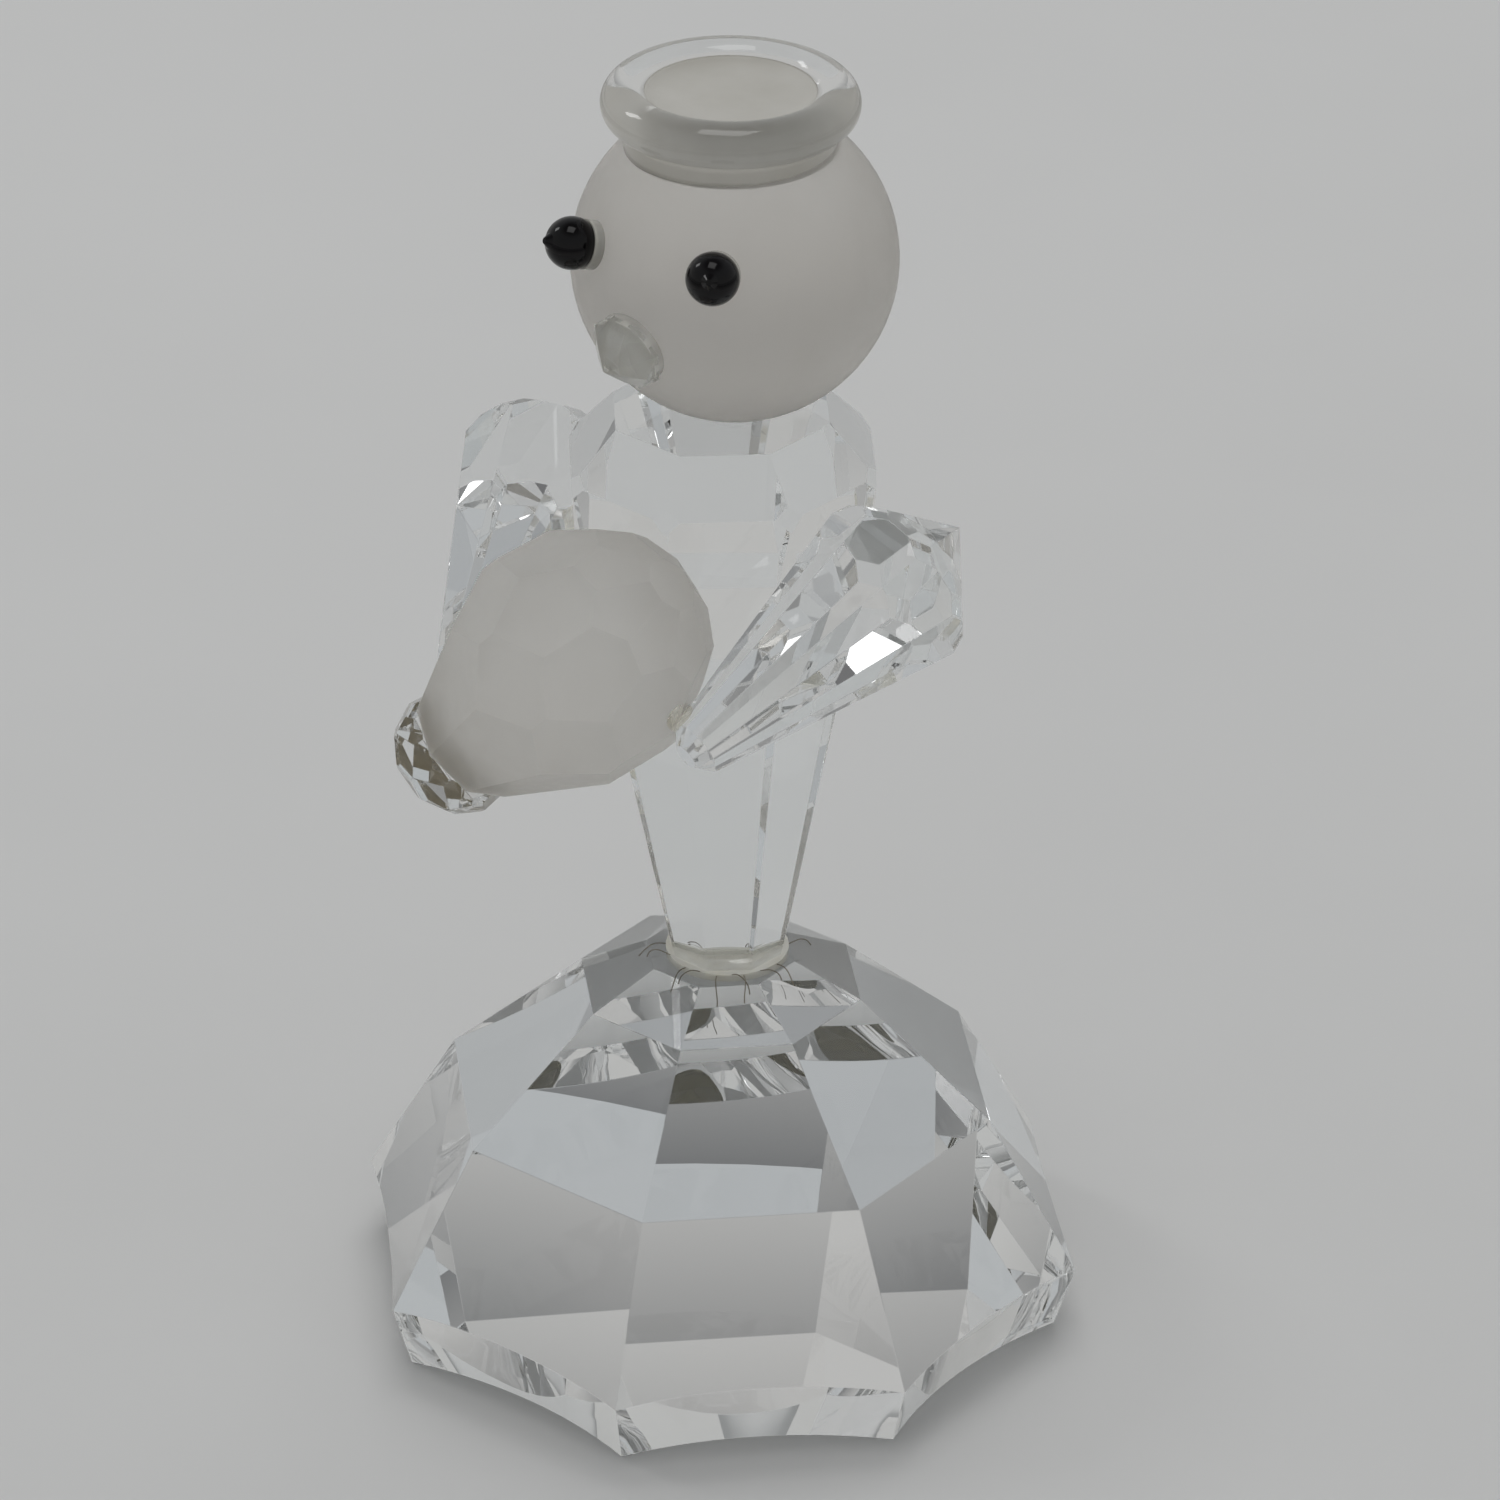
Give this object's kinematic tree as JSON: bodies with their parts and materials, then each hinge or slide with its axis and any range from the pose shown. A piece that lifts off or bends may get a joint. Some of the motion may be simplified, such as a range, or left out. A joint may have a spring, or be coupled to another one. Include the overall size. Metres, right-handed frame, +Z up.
{
  "type": "figurine",
  "caption": "Standing display figurine of cut crystal stones cemented together: domed base, tapering body, frosted ball head under a ring, and drop-shaped arms holding a frosted pear stone.",
  "frame": {"origin": "centre of the base stone's underside", "axes": "+Z up the body, the face looks along -Y, the figure's own left arm is on +X"},
  "size_m": [0.037, 0.0392, 0.071],
  "materials": {
    "clear_crystal": "polished facets",
    "frosted_crystal": "satin etched",
    "black_glass": "polished",
    "clear_cement": "cured clear adhesive"
  },
  "bodies": {
    "root": {"base": "clear_crystal", "torso": "clear_crystal", "halo_ring": "clear_crystal", "nose": "clear_crystal", "held_stone_cap": "clear_crystal", "left_arm": "clear_crystal", "right_arm": "clear_crystal", "head": "frosted_crystal", "held_stone": "frosted_crystal", "left_eye": "black_glass", "right_eye": "black_glass", "base_cement": "clear_cement", "neck_cement": "clear_cement", "halo_cement": "clear_cement", "left_eye_cement": "clear_cement", "right_eye_cement": "clear_cement", "nose_cement": "clear_cement", "cap_cement": "clear_cement", "left_shoulder_cement": "clear_cement", "left_hand_cement": "clear_cement", "right_shoulder_cement": "clear_cement", "right_hand_cement": "clear_cement"}
  },
  "joints": []
}
